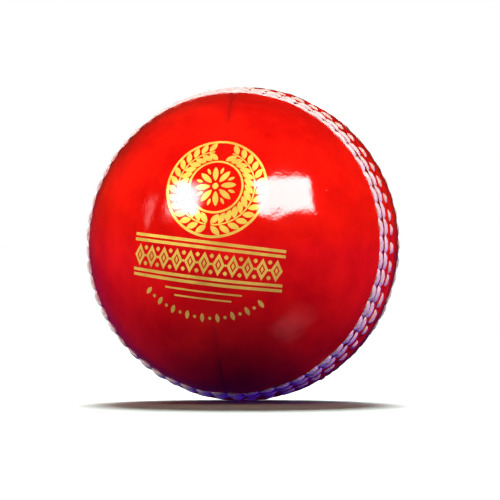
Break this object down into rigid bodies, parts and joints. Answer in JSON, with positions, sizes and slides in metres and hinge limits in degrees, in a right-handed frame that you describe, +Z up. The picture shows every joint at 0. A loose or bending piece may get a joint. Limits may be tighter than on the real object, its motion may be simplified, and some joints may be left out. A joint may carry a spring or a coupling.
{
  "type": "cricket ball",
  "caption": "Red leather cricket ball with a raised stitched seam round its middle and a gold ornament stamped on the front.",
  "frame": {"origin": "centre of the ball, in the plane of the seam", "axes": "Y is the ball's pole axis, square to the seam plane, and -Y is the stamped side; +Z is up as the ball rests on its seam"},
  "size_m": [0.0728, 0.0716, 0.0728],
  "materials": {
    "red_leather": "gloss",
    "seam_thread": "matte",
    "closing_thread": "matte",
    "lining_leather": "matte",
    "wound_yarn": "matte",
    "cork": "matte",
    "gold_foil": "satin"
  },
  "bodies": {
    "root": {"cork_nucleus": "cork", "inner_winding": "wound_yarn", "inner_cork_strip_1": "cork", "inner_cork_strip_2": "cork", "inner_cork_strip_3": "cork", "inner_cork_strip_4": "cork", "middle_winding": "wound_yarn", "outer_cork_strip_1": "cork", "outer_cork_strip_2": "cork", "outer_cork_strip_3": "cork", "outer_cork_strip_4": "cork", "outer_winding": "wound_yarn", "front_left_quarter": "red_leather", "front_right_quarter": "red_leather", "front_backing_strip": "lining_leather", "front_quarter_thread": "closing_thread", "front_inner_stitch_row": "seam_thread", "front_middle_stitch_row": "seam_thread", "front_outer_stitch_row": "seam_thread", "back_lower_quarter": "red_leather", "back_upper_quarter": "red_leather", "back_backing_strip": "lining_leather", "back_quarter_thread": "closing_thread", "back_inner_stitch_row": "seam_thread", "back_middle_stitch_row": "seam_thread", "back_outer_stitch_row": "seam_thread"}
  },
  "joints": []
}
